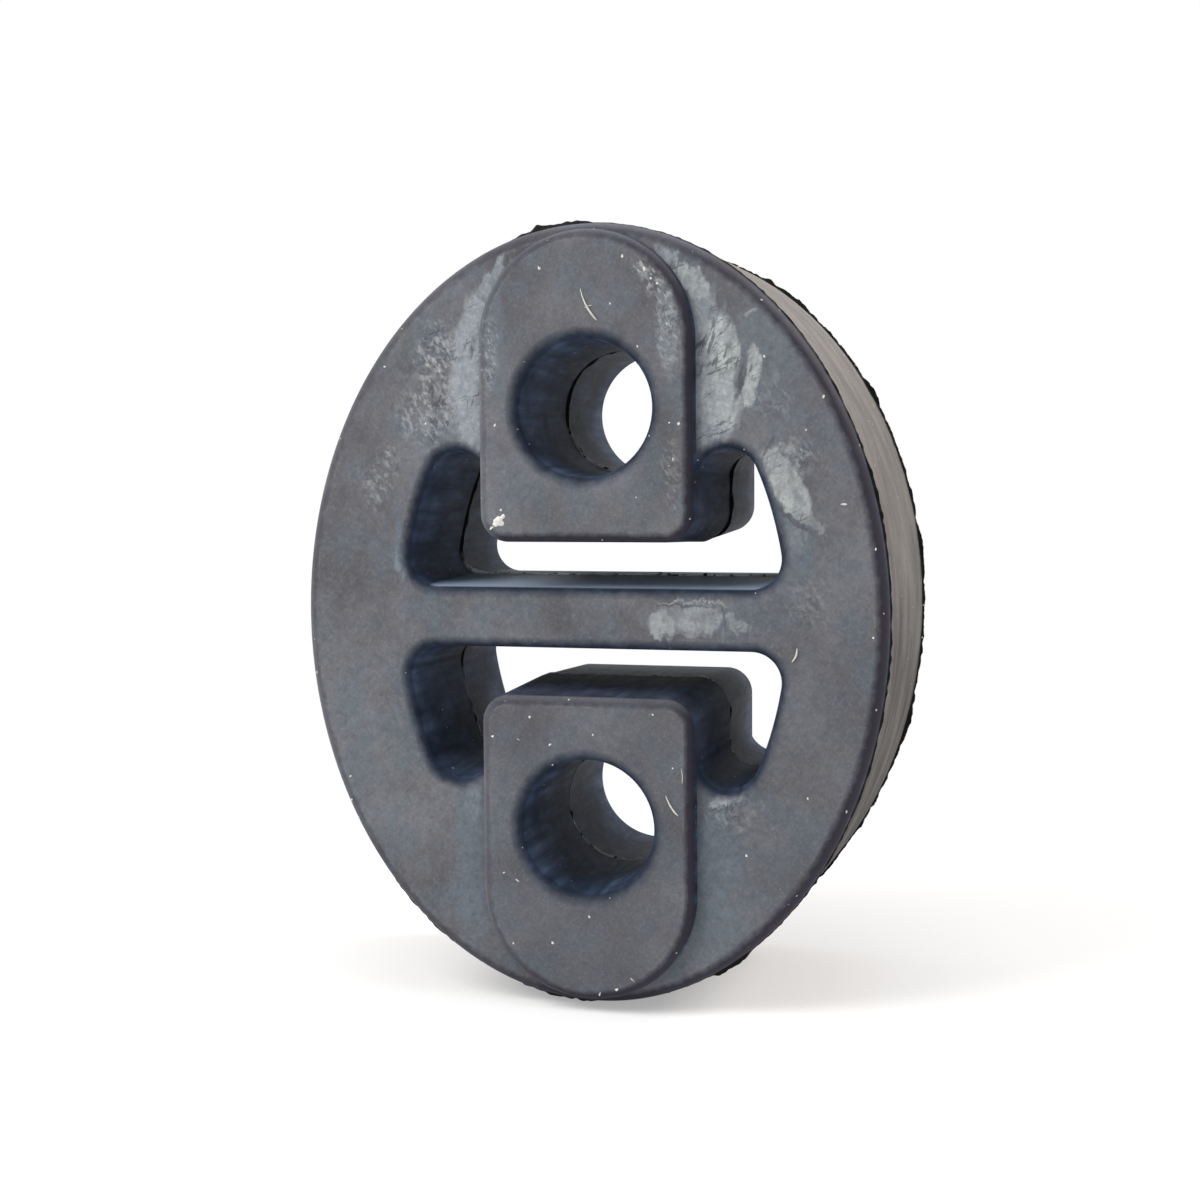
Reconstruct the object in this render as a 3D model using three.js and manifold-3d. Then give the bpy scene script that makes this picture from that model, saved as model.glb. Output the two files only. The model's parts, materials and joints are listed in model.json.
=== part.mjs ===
// Exhaust hanger, moulded in one piece of rubber: an oval ring, a web across its middle, and a bored boss
// above and below the web that a slot parts from the web and from the ring's sides.
// Millimetres. +X is across the oval, +Y runs along the bores from front to back, and +Z is up.
// The origin is the middle of the part. Front and back are alike, and so are top and bottom.
import * as THREE from "three";
import Module from "manifold-3d";

const wasm = await Module();
wasm.setup();

// The ring
const ringWidth = 58;
const ringHeight = 75;
const ringThickness = 26.8;
const ringEdgeRadius = 1.4;

// The bosses and their bores
const bossWidth = 22; // at the parting plane, where the draft makes a boss widest
const bossThickness = 30;
const bossCornerRadius = 3.2;
const bossEdgeRadius = 1;
const bossEndInset = 0.3; // from the ring's edge to a boss's round end
const boreSpacing = 40;
const boreDiameter = 12.4; // at the parting plane, where the draft makes a bore narrowest
const boreDraft = 0.3; // what the draft adds to the bore's radius at its mouths
const boreLipRadius = 0.6;

// The web and the slots round the bosses
const webThickness = 6.8; // at the parting plane
const slotWidth = 7.5; // between a boss's side and the ring's wall, measured where the ring is widest
const slotGap = 3.5; // between a boss's inner end and the web
const slotCornerRadius = 2.4;
const slotEndRadius = 2.45;
const slotEdgeRadius = 0.8;
const wallDraft = 0.45; // what each slot wall and boss wall leans, from the parting plane to its face

// What the mould leaves where its plates and cores meet
const coreRidgeHeight = 0.25;
const coreRidgeHalfWidth = 0.2;
const plateFlashHeight = 0.35;
const plateFlashRipple = 0.15;
const plateFlashHalfWidth = 0.2;
const coarseRipples = 22; // round the oval
const fineRipples = 38;
const coarseShare = 0.6; // of the whole ripple

// How finely curves are drawn
const ovalSteps = 144;
const boreSteps = 48;
const edgeSteps = 3;
const cornerSteps = 5;
const bossEndSteps = 28;
const slotEndSteps = 9;
const slotSideSteps = 8;
const halvings = 50; // of the quarter turn in which a corner's place on the oval is looked for

const overrun = 2; // how far a cutter stands out past the face that it cuts
const tuck = 0.05; // how far a slot's round end runs into the boss beside it
const ringWall = (ringWidth - bossWidth) / 2 - slotWidth; // from the ring's edge in to the slots
const quarterTurn = Math.PI / 2;

// A point of the ring's oval, moved square to the oval by outward.
function ovalPoint(angle, outward) {
  const normal = ovalNormal(angle);
  return new THREE.Vector2(
    (ringWidth / 2) * Math.cos(angle) + normal.x * outward,
    (ringHeight / 2) * Math.sin(angle) + normal.y * outward,
  );
}

function ovalNormal(angle) {
  return new THREE.Vector2(ringHeight * Math.cos(angle), ringWidth * Math.sin(angle)).normalize();
}

// The angle in the oval's upper right quarter at which a rising function of the angle passes zero.
function angleWhere(rising) {
  let low = 0;
  let high = quarterTurn;
  for (let halving = 0; halving < halvings; halving++) {
    const middle = (low + high) / 2;
    if (rising(middle) < 0) low = middle;
    else high = middle;
  }
  return low;
}

function arc(centre, radius, from, to, steps) {
  return Array.from({ length: steps + 1 }, (_, i) => {
    const angle = from + ((to - from) * i) / steps;
    return new THREE.Vector2(centre.x + radius * Math.cos(angle), centre.y + radius * Math.sin(angle));
  });
}

// Outlines are drawn in X and Z, anticlockwise as seen from the front. Each is given at the parting plane
// and grown all round by grow.
function ringOutline(grow, flash) {
  return Array.from({ length: ovalSteps }, (_, i) => {
    const angle = (2 * Math.PI * i) / ovalSteps;
    return ovalPoint(angle, grow + (flash ? plateFlash(angle) : 0));
  });
}

function boreOutline(grow) {
  return arc({ x: 0, y: boreSpacing / 2 }, boreDiameter / 2 + grow, 0, 2 * Math.PI, boreSteps).slice(0, -1);
}

function bossOutline(grow) {
  const halfWidth = bossWidth / 2;
  const cornerX = halfWidth - bossCornerRadius;
  const cornerZ = webThickness / 2 + slotGap + bossCornerRadius;
  const endZ = ringHeight / 2 - bossEndInset - halfWidth;
  const corner = bossCornerRadius + grow;
  return [
    ...arc({ x: -cornerX, y: cornerZ }, corner, Math.PI, 3 * quarterTurn, cornerSteps),
    ...arc({ x: cornerX, y: cornerZ }, corner, -quarterTurn, 0, cornerSteps),
    ...arc({ x: 0, y: endZ }, halfWidth + grow, 0, Math.PI, bossEndSteps),
  ];
}

// The slot's right half runs from the web round its corner, up beside the ring's wall and over its round end
// to the boss. The left half mirrors it, and the boss later covers the stretch between the two ends.
function slotOutline(grow) {
  const cornerInset = ringWall + slotCornerRadius;
  const endInset = ringWall + slotEndRadius;
  const cornerZ = webThickness / 2 + slotCornerRadius;
  const endX = bossWidth / 2 - tuck + slotEndRadius;
  const cornerAngle = angleWhere((angle) => ovalPoint(angle, -cornerInset).y - cornerZ);
  const endAngle = angleWhere((angle) => endX - ovalPoint(angle, -endInset).x);
  const corner = arc(
    ovalPoint(cornerAngle, -cornerInset),
    slotCornerRadius + grow,
    -quarterTurn,
    ovalNormal(cornerAngle).angle(),
    cornerSteps,
  );
  const side = Array.from({ length: slotSideSteps - 1 }, (_, i) =>
    ovalPoint(cornerAngle + ((endAngle - cornerAngle) * (i + 1)) / slotSideSteps, grow - ringWall),
  );
  const end = arc(
    ovalPoint(endAngle, -endInset),
    slotEndRadius + grow,
    ovalNormal(endAngle).angle(),
    Math.PI,
    slotEndSteps,
  );
  const right = [...corner, ...side, ...end];
  const left = right.map((point) => new THREE.Vector2(-point.x, point.y)).reverse();
  return [...right, ...left];
}

// The stations of a rounded edge, from the face inwards. turn is -1 on a piece, whose face is smaller than
// its body, and +1 on a cutter, whose mouth is wider than its body.
function edgeStations(faceY, radius, lean, turn) {
  return Array.from({ length: edgeSteps + 1 }, (_, i) => {
    const angle = (quarterTurn * i) / edgeSteps;
    return {
      y: faceY + radius * (1 - Math.cos(angle)),
      grow: turn * (lean + radius * (1 - Math.sin(angle))),
    };
  });
}

// The front stations and the same ones mirrored to the back.
function bothWays(front) {
  const back = front
    .filter((station) => station.y !== 0)
    .map((station) => ({ ...station, y: -station.y }))
    .reverse();
  return [...front, ...back];
}

// The height of the flash at a point of the ring's edge: higher in some places than in others.
function plateFlash(angle) {
  const coarse = coarseShare * Math.cos(coarseRipples * angle);
  const fine = (1 - coarseShare) * Math.cos(fineRipples * angle);
  return plateFlashHeight + plateFlashRipple * (coarse + fine);
}

function ringStations() {
  const seamY = ringEdgeRadius + plateFlashHalfWidth - ringThickness / 2;
  return bothWays([
    ...edgeStations(-ringThickness / 2, ringEdgeRadius, 0, -1),
    { y: seamY, grow: 0, flash: true },
    { y: seamY + plateFlashHalfWidth, grow: 0 },
  ]);
}

function bossStations() {
  return bothWays([
    ...edgeStations(-bossThickness / 2, bossEdgeRadius, wallDraft, -1),
    { y: -coreRidgeHalfWidth, grow: 0 },
    { y: 0, grow: 0, ridge: true },
  ]);
}

// A cutter's stations: out past the face, round the mouth's edge, and in to the ridge at the parting plane.
function cutterStations(thickness, edgeRadius, lean) {
  return bothWays([
    { y: -thickness / 2 - overrun, grow: lean + edgeRadius },
    ...edgeStations(-thickness / 2, edgeRadius, lean, 1),
    { y: -coreRidgeHalfWidth, grow: 0 },
    { y: 0, grow: -coreRidgeHeight },
  ]);
}

// A closed skin over a stack of outlines, front to back, that all have the same number of points.
function loft(sections) {
  const count = sections[0].outline.length;
  const vertProperties = new Float32Array(
    sections.flatMap(({ y, outline }) => outline.flatMap((point) => [point.x, y, point.y])),
  );
  const triangles = [];
  for (let s = 0; s + 1 < sections.length; s++) {
    for (let i = 0; i < count; i++) {
      const next = (i + 1) % count;
      const [front, frontNext] = [s * count + i, s * count + next];
      const [back, backNext] = [front + count, frontNext + count];
      triangles.push([back, backNext, frontNext], [back, frontNext, front]);
    }
  }
  const last = (sections.length - 1) * count;
  for (const [a, b, c] of THREE.ShapeUtils.triangulateShape(sections[0].outline, [])) {
    triangles.push([a, b, c]);
  }
  for (const [a, b, c] of THREE.ShapeUtils.triangulateShape(sections.at(-1).outline, [])) {
    triangles.push([last + a, last + c, last + b]);
  }
  const triVerts = new Uint32Array(triangles.flat());
  return new wasm.Manifold(new wasm.Mesh({ numProp: 3, vertProperties, triVerts }));
}

function ringSolid() {
  return loft(ringStations().map(({ y, grow, flash }) => ({ y, outline: ringOutline(grow, flash) })));
}

// The ridge runs round a boss's inner end and dies away up its sides, because the outer end is in the ring.
function bossSolid() {
  const boreZ = boreSpacing / 2;
  return loft(
    bossStations().map(({ y, grow, ridge }) => {
      const plain = bossOutline(grow);
      const ridged = bossOutline(grow + coreRidgeHeight);
      return { y, outline: ridge ? plain.map((point, i) => (point.y < boreZ ? ridged[i] : point)) : plain };
    }),
  );
}

function slotCutter() {
  const stations = cutterStations(ringThickness, slotEdgeRadius, wallDraft);
  return loft(stations.map(({ y, grow }) => ({ y, outline: slotOutline(grow) })));
}

function boreCutter() {
  const stations = cutterStations(bossThickness, boreLipRadius, boreDraft);
  return loft(stations.map(({ y, grow }) => ({ y, outline: boreOutline(grow) })));
}

// The same solid below the web as above it.
function aboveAndBelow(solid) {
  return [solid, solid.rotate([0, 180, 0])];
}

function bodySolid() {
  let body = ringSolid();
  for (const slot of aboveAndBelow(slotCutter())) body = body.subtract(slot);
  for (const boss of aboveAndBelow(bossSolid())) body = body.add(boss);
  for (const bore of aboveAndBelow(boreCutter())) body = body.subtract(bore);
  return body;
}

function geometryOf(solid) {
  const { vertProperties, triVerts } = solid.getMesh();
  const geometry = new THREE.BufferGeometry();
  geometry.setAttribute("position", new THREE.BufferAttribute(vertProperties, 3));
  geometry.setIndex(new THREE.BufferAttribute(triVerts, 1));
  geometry.computeVertexNormals();
  return geometry;
}

const rubber = new THREE.MeshStandardMaterial({ color: 0x5d5e63, roughness: 0.72, metalness: 0 });

const body = new THREE.Mesh(geometryOf(bodySolid()), rubber);
body.name = "rubber_body";

const hanger = new THREE.Group();
hanger.add(body);

export default hanger;
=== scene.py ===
import json
import math

import bpy
import bmesh
import numpy as np
from mathutils import Matrix, Vector, noise


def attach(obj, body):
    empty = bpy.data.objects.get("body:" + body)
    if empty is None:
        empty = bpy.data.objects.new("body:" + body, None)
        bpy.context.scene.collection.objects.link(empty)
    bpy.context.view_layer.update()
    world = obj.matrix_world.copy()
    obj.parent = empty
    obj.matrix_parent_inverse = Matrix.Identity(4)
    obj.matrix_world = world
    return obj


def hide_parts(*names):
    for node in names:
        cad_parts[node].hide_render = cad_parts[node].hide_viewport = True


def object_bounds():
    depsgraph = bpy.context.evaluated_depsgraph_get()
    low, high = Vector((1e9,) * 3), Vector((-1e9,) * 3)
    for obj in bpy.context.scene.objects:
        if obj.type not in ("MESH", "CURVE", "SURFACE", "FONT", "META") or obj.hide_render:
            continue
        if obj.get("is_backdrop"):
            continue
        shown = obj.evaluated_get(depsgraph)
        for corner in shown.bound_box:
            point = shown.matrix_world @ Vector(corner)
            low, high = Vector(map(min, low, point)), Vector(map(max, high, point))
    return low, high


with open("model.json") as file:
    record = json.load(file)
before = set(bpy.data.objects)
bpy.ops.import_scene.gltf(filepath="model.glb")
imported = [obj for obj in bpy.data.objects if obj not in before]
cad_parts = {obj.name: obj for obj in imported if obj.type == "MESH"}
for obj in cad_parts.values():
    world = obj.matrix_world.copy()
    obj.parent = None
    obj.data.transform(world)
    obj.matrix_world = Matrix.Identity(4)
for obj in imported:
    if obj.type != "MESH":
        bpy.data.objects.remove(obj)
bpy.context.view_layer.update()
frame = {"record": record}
mounts = {mount["name"]: mount for mount in frame["record"]["mounts"]}
mm = 0.001


# Camera, first: where the photo was taken from
cameraView = {
    "place": (47.85, -174.07, 14.21),  # mm
    "turn": 16.206,  # degrees to the right of the front
    "lookDown": 4.232,
    "roll": -0.419,
    "lens": 52.84,
    "sensor": 36,
    "clip": (0.01, 20),  # m
}


def makeCamera(view):
    data = bpy.data.cameras.new("productCamera")
    data.lens = view["lens"]
    data.sensor_width = view["sensor"]
    data.clip_start, data.clip_end = view["clip"]
    camera = bpy.data.objects.new("productCamera", data)
    turn = Matrix.Rotation(math.radians(view["turn"]), 4, "Z")
    tilt = Matrix.Rotation(math.radians(90 - view["lookDown"]), 4, "X")
    roll = Matrix.Rotation(math.radians(view["roll"]), 4, "Z")
    camera.matrix_world = Matrix.Translation(Vector(view["place"]) * mm) @ turn @ tilt @ roll
    bpy.context.scene.collection.objects.link(camera)
    bpy.context.scene.camera = camera


makeCamera(cameraView)
print("camera placed")


# The rubber body, in millimetres
rubberBody = {
    "ringWidth": 58,
    "ringHeight": 75,
    "ringThickness": 26.8,
    "ringEdge": 1.4,
    "leftSwell": 0.5,  # the rim stands this much prouder on the left, where the mould sat open
    "rightTuck": 0.5,  # and its front edge lies this much further in on the right
    "bossWidth": 22,
    "bossCorner": 3.2,
    "bossEdge": 1.1,
    "bossEndInset": 0.3,
    "boreWidth": 12.4,
    "boreDraft": 0.3,
    "boreLip": 1.25,
    "webThickness": 6.8,
    "slotWidth": 7.5,
    "slotGap": 3.5,
    "slotCorner": 2.4,
    "slotEnd": 2.45,
    "slotEdge": 1.1,
    "wallDraft": 0.45,
    "overrun": 2,  # how far a cutter stands out of the face
    "tuck": 0.05,  # how far a slot's round end runs into the boss beside it
    "rimPoints": 960,
    "borePoints": 144,
    "edgeSteps": 7,  # facets round a rounded edge
    "bossSteps": {"corner": 20, "end": 120, "straights": (44, 46, 46)},
    "slotSteps": {"corner": 14, "side": 29, "end": 28, "straights": (2, 86)},
    "edgeReach": 2,  # an edge this near the rim, or this far from a bore, is an outer one
    "proud": 0.1,  # what stands this far out of the ring's face is a boss
    "bandFrom": 0.97,  # share of the way out to the rim, past which its straight band begins
    "sharpAngle": 40,
    "normalWeight": 90,
}
rubberBody["boreZ"] = mounts["upper_bore"]["pos_m"][2] / mm
rubberBody["bossThickness"] = 2 * abs(mounts["upper_front_face"]["pos_m"][1]) / mm

# Flash torn off round the rim where the mould's plates met, in millimetres.
# A tab is (degrees round the oval, degrees wide, height).
flash = {
    "rootHalf": 0.14,
    "wander": 0.08,
    "unevenSize": {"ragged": 1.1, "nicks": 0.4, "tab": 0.8},  # along the rim
    "nickShare": 0.6,
    "tabShare": (0.75, 0.8),  # the steady and the uneven share of a tab's height
    "heightLimits": (0.02, 1.2),
    "torn": (-0.05, 0.04),  # how far out of the rim's line torn rubber starts, and over what it sets in
    "tornSpan": 2.2,  # and this many halves of the root to either side
    "front": {
        "seed": 11.0,
        "base": 0.06,
        "ragged": 0.08,
        "tabs": [
            (8, 55, 0.13), (18, 5, 0.12), (97, 7, 0.45), (205, 6, 0.15),
            (232, 9, 0.35), (262, 8, 0.3), (298, 4, 0.5),
        ],
    },
    "back": {
        "seed": 47.0,
        "base": 0.20,
        "ragged": 0.16,
        "tabs": [
            (8, 3, 0.2), (36, 2.2, 0.4), (60, 6, 0.2), (88, 10, 0.35), (150, 5, 0.4), (185, 7, 0.3),
            (224, 4, 0.5), (262, 6, 0.35), (-52, 5, 0.3), (-20, 4, 0.25),
        ],
    },
}

# The witness line where the mould's halves met inside the slots and bores, in millimetres
witness = {
    "half": 0.5,
    "across": (-0.6, -0.1, 0.45, 1),  # its near side, bottom, lip and far side, in halves
    "depth": 0.55,
    "depthShare": (0.6, 0.55, 1.15),  # the usual, least and most share of the depth
    "lip": 0.18,
    "lipShare": (0.45, 0, 1.5),
    # how the line varies as it runs: strength, length in mm, and what its seed adds
    "waves": {"deep": (1.2, 5.0, 0), "nicks": (0.5, 1.2, 5), "lip": (1.5, 1.6, 9), "wander": (0.05, 1.6, 3)},
    "seeds": {"slot": 3.3, "boss": 71.7, "bore": 23.1},
    "tornStrip": (0.15, 0.55, 0.15),  # its middle, half width and soft border, in halves
    "lipStrip": (0.45, 0, 0.4),
    "mismatch": (0.13, 0.09),  # how far the back half of the mould sat off the front half
}


def ovalNormal(angle, size):
    normal = np.stack([size["ringHeight"] * np.cos(angle), size["ringWidth"] * np.sin(angle)], -1)
    return normal / np.linalg.norm(normal, axis=-1, keepdims=True)


def ovalPoint(angle, outward, size):
    edge = np.stack([size["ringWidth"] / 2 * np.cos(angle), size["ringHeight"] / 2 * np.sin(angle)], -1)
    return edge + ovalNormal(angle, size) * outward


def angleWhere(rising):
    # the angle in the first quarter turn at which a rising function passes zero
    low, high = 0.0, math.pi / 2
    halvings = 50
    for _ in range(halvings):
        middle = (low + high) / 2
        if rising(middle) < 0:
            low = middle
        else:
            high = middle
    return low


def turnAbout(centre, radius, start, finish, steps):
    angles = np.linspace(start, finish, steps + 1)
    return np.array(centre) + radius * np.stack([np.cos(angles), np.sin(angles)], -1)


def joinUp(parts, counts):
    # runs of points, with the straight stretch after each one cut into count steps
    filled = []
    for part, following, count in zip(parts, parts[1:] + parts[:1], counts):
        filled.append(part)
        shares = np.linspace(0, 1, count + 1)[1:-1, None]
        filled.append(part[-1] + (following[0] - part[-1]) * shares)
    return np.concatenate(filled)


def bossOutline(grow, size):
    half, corner, steps = size["bossWidth"] / 2, size["bossCorner"], size["bossSteps"]
    lowZ = size["webThickness"] / 2 + size["slotGap"] + corner
    endZ = size["ringHeight"] / 2 - size["bossEndInset"] - half
    quarter = math.pi / 2
    parts = [
        turnAbout((corner - half, lowZ), corner + grow, 2 * quarter, 3 * quarter, steps["corner"]),
        turnAbout((half - corner, lowZ), corner + grow, -quarter, 0, steps["corner"]),
        turnAbout((0, endZ), half + grow, 0, 2 * quarter, steps["end"]),
    ]
    return joinUp(parts, steps["straights"])


def slotOutline(grow, size):
    wall = (size["ringWidth"] - size["bossWidth"]) / 2 - size["slotWidth"]
    corner, end, steps = size["slotCorner"], size["slotEnd"], size["slotSteps"]
    cornerZ = size["webThickness"] / 2 + corner
    endX = size["bossWidth"] / 2 - size["tuck"] + end
    cornerAngle = angleWhere(lambda a: ovalPoint(a, -wall - corner, size)[1] - cornerZ)
    endAngle = angleWhere(lambda a: endX - ovalPoint(a, -wall - end, size)[0])

    def slope(angle):
        normal = ovalNormal(angle, size)
        return math.atan2(normal[1], normal[0])

    cornerMiddle = ovalPoint(cornerAngle, -wall - corner, size)
    endMiddle = ovalPoint(endAngle, -wall - end, size)
    right = np.concatenate([
        turnAbout(cornerMiddle, corner + grow, -math.pi / 2, slope(cornerAngle), steps["corner"]),
        ovalPoint(np.linspace(cornerAngle, endAngle, steps["side"] + 1)[1:-1], grow - wall, size),
        turnAbout(endMiddle, end + grow, slope(endAngle), math.pi, steps["end"]),
    ])
    left = (right * (-1, 1))[::-1]
    return joinUp([right, left], steps["straights"])


def boreOutline(grow, size):
    angles = np.linspace(0, 2 * math.pi, size["borePoints"], endpoint=False)
    normal = np.stack([np.cos(angles), np.sin(angles)], -1)
    return normal * (size["boreWidth"] / 2 + grow) + (0, size["boreZ"])


def lineAndGrowth(outline, size):
    # an outline, and the way that each of its points moves as the shape grows by 1 mm
    plain, small = outline(0.0, size), 0.001
    return plain, (outline(small, size) - plain) / small


def unevenness(points, featureSize, seed):
    return np.array([noise.noise(Vector((x / featureSize, z / featureSize, seed))) for x, z in points])


def roundedEdge(faceY, radius, lean, turn, size):
    angles = np.linspace(0, math.pi / 2, size["edgeSteps"] + 1)
    return [(faceY + radius * (1 - math.cos(a)), turn * (lean + radius * (1 - math.sin(a)))) for a in angles]


def finHeight(angles, points, fin):
    sizes, (steady, uneven) = flash["unevenSize"], flash["tabShare"]
    ragged = unevenness(points, sizes["ragged"], fin["seed"])
    nicks = unevenness(points, sizes["nicks"], fin["seed"] + 9)
    height = fin["base"] + fin["ragged"] * (ragged + flash["nickShare"] * nicks)
    for middle, width, tall in fin["tabs"]:
        away = (np.degrees(angles) - middle + 180) % 360 - 180
        swell = np.exp(-((away / width) ** 4))
        height += tall * swell * (steady + uneven * unevenness(points, sizes["tab"], fin["seed"] + middle))
    return np.clip(height, *flash["heightLimits"])


def eased(across):
    # 0 up to the middle of the rim, and then ever faster to 1 at its side
    return np.clip(across, 0, 1) ** 1.5


def ringSections(size):
    angles = np.linspace(0, 2 * math.pi, size["rimPoints"], endpoint=False)
    normal = ovalNormal(angles, size)
    outline = ovalPoint(angles, size["leftSwell"] * eased(-np.cos(angles))[:, None], size)
    tuckedIn = outline - normal * (size["rightTuck"] * eased(np.cos(angles)))[:, None]
    flat = np.zeros(len(outline))
    half, root = size["ringThickness"] / 2, flash["rootHalf"]
    seam = half - size["ringEdge"] - root
    sections = []
    for side, name in ((-1, "front"), (1, "back")):
        height = finHeight(angles, outline, flash[name])[:, None]
        wander = unevenness(outline, flash["unevenSize"]["ragged"], flash[name]["seed"] + 19)
        line = tuckedIn if side < 0 else outline
        edge = roundedEdge(-half, size["ringEdge"], 0, -1, size)
        rows = [(line + normal * grow, flat + y) for y, grow in edge]
        rows.append((line + normal * height, flash["wander"] * wander - seam))
        rows.append((line, flat + root - seam))
        rows.append((line, flat + 3 * root - seam))  # so that torn rubber ends here
        if side > 0:
            rows = [(points, -y) for points, y in rows][::-1]
        sections += rows
    return sections


def partedSections(outline, thickness, radius, lean, turn, overrun, size, seed):
    # rounded edge, wall, witness line at the mould's parting plane, and the same back out again
    line, growth = lineAndGrowth(outline, size)
    half = thickness / 2
    edge = roundedEdge(-half, radius, lean, turn, size)
    if overrun:
        edge = [(-half - overrun, turn * (lean + radius))] + edge
    flat = np.zeros(len(line))
    wave = {}
    for name, (high, length, addition) in witness["waves"].items():
        wave[name] = high * unevenness(line, length, seed + addition)
    usualDepth, *depthLimits = witness["depthShare"]
    usualLip, *lipLimits = witness["lipShare"]
    depth = turn * witness["depth"] * np.clip(usualDepth + wave["deep"] + wave["nicks"], *depthLimits)
    lip = -turn * witness["lip"] * np.clip(usualLip + wave["lip"], *lipLimits)
    near, bottom, top, far = [wave["wander"] + witness["half"] * place for place in witness["across"]]
    rows = [(line + growth * grow, flat + y, 0) for y, grow in edge]
    rows += [
        (line, near, 0),
        (line + growth * depth[:, None], bottom, 0.5),
        (line + growth * lip[:, None], top, 1),
        (line, far, 1),
    ]
    rows += [(line + growth * grow, flat - y, 1) for y, grow in edge[::-1]]
    return [(points + np.array(witness["mismatch"]) * share, y) for points, y, share in rows]


def makeLoft(name, sections):
    count = len(sections[0][0])
    vertices = np.concatenate([np.stack([p[:, 0], y, p[:, 1]], -1) for p, y in sections]) * mm
    index = np.arange(count)
    following = (index + 1) % count
    faces = []
    for row in range(len(sections) - 1):
        near, far = row * count, (row + 1) * count
        faces += np.stack([index + far, following + far, following + near, index + near], -1).tolist()
    faces.append(index.tolist())
    faces.append((index[::-1] + (len(sections) - 1) * count).tolist())
    mesh = bpy.data.meshes.new(name)
    mesh.from_pydata(vertices.tolist(), [], faces)
    mesh.update()
    made = bpy.data.objects.new(name, mesh)
    bpy.context.scene.collection.objects.link(made)
    return made


def turnedOver(made):
    # the same form below the web
    copy = made.copy()
    copy.data = made.data.copy()
    copy.data.transform(Matrix.Rotation(math.pi, 4, "Y"))
    bpy.context.scene.collection.objects.link(copy)
    return copy


def buildBody(size):
    body = makeLoft("moulded_rubber_body", ringSections(size))
    ringT, bossT, over = size["ringThickness"], size["bossThickness"], size["overrun"]
    draft, boreDraft = size["wallDraft"], size["boreDraft"]
    tools = {
        "slot": ("DIFFERENCE", slotOutline, ringT, size["slotEdge"], draft, 1, over),
        "boss": ("UNION", bossOutline, bossT, size["bossEdge"], draft, -1, 0),
        "bore": ("DIFFERENCE", boreOutline, bossT, size["boreLip"], boreDraft, 1, over),
    }
    used = []
    for name, (operation, *form) in tools.items():
        tool = makeLoft(name, partedSections(*form, size, witness["seeds"][name]))
        for part in (tool, turnedOver(tool)):
            cut = body.modifiers.new("cut", "BOOLEAN")
            cut.operation = operation
            cut.solver = "MANIFOLD"
            cut.object = part
            used.append(part)
    graph = bpy.context.evaluated_depsgraph_get()
    mesh = bpy.data.meshes.new_from_object(body.evaluated_get(graph))
    mesh.materials.clear()
    body.modifiers.clear()
    body.data = mesh
    for part in used:
        bpy.data.objects.remove(part)
    return body


def strip(place, middle, half, border):
    # 1 within half of the middle, fading to 0 over the border
    return np.clip((half + border - np.abs(place - middle)) / border, 0, 1)


def markBody(body, size):
    # the rim's straight band gets its own material, and torn rubber is marked point by point
    mesh = body.data
    points = np.empty(len(mesh.vertices) * 3)
    mesh.vertices.foreach_get("co", points)
    points = points.reshape(-1, 3) / mm
    halfX, halfY, halfZ = size["ringWidth"] / 2, size["ringThickness"] / 2, size["ringHeight"] / 2
    across = points[:, 0] / halfX
    outside = (np.hypot(across, points[:, 2] / halfZ) - 1) * halfX
    outside -= size["leftSwell"] * eased(-across)
    outside += size["rightTuck"] * eased(across) * (points[:, 1] < 0)
    fromSeam = np.abs(np.abs(points[:, 1]) - halfY + size["ringEdge"])
    onFlash = np.clip((outside - flash["torn"][0]) / flash["torn"][1], 0, 1)
    onFlash *= fromSeam < flash["tornSpan"] * flash["rootHalf"]
    inside = outside < -size["edgeReach"]
    fromLine = points[:, 1] / witness["half"]
    fromBore = np.hypot(points[:, 0], np.abs(points[:, 2]) - size["boreZ"]) - size["boreWidth"] / 2
    onBoss = (np.abs(points[:, 1]) > halfY + size["proud"]) & (fromBore > size["edgeReach"])
    marks = {
        "torn": np.maximum(onFlash, strip(fromLine, *witness["tornStrip"]) * inside),
        "lip": strip(fromLine, *witness["lipStrip"]) * inside,
        "outerEdge": onBoss | ~inside,
        "web": np.abs(points[:, 2]) < size["webThickness"] / 2 + size["wallDraft"],
    }
    for name, values in marks.items():
        mark = mesh.attributes.new(name, "FLOAT", "POINT")
        mark.data.foreach_set("value", values.astype(np.float32))
    seam = halfY - size["ringEdge"] - 2 * flash["rootHalf"]
    normals = {}
    for face in mesh.polygons:
        centre = face.center / mm
        wayOut = math.hypot(centre.x / halfX, centre.z / halfZ)
        face.material_index = int(wayOut > size["bandFrom"] and abs(centre.y) < seam)
        face.use_smooth = True
        for key in face.edge_keys:
            normals.setdefault(key, []).append(face.normal.copy())
    limit = math.cos(math.radians(size["sharpAngle"]))
    pairs = [normals.get(edge.key, []) for edge in mesh.edges]
    sharp = mesh.attributes.new("sharp_edge", "BOOLEAN", "EDGE")
    sharp.data.foreach_set("value", [len(pair) != 2 or pair[0].dot(pair[1]) < limit for pair in pairs])
    weighted = body.modifiers.new("weightedNormals", "WEIGHTED_NORMAL")
    weighted.keep_sharp = True
    weighted.weight = size["normalWeight"]


body = buildBody(rubberBody)
markBody(body, rubberBody)
print("rubber body built,", len(body.data.polygons), "faces")


def faceDepth(name):
    return -(rubberBody["ringThickness"] if name == "ring" else rubberBody["bossThickness"]) / 2


# Materials
def fromHex(text):
    parts = [int(text[i:i + 2], 16) / 255 for i in (1, 3, 5)]
    linear = [c / 12.92 if c <= 0.04045 else ((c + 0.055) / 1.055) ** 2.4 for c in parts]
    return (*linear, 1.0)


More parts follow.
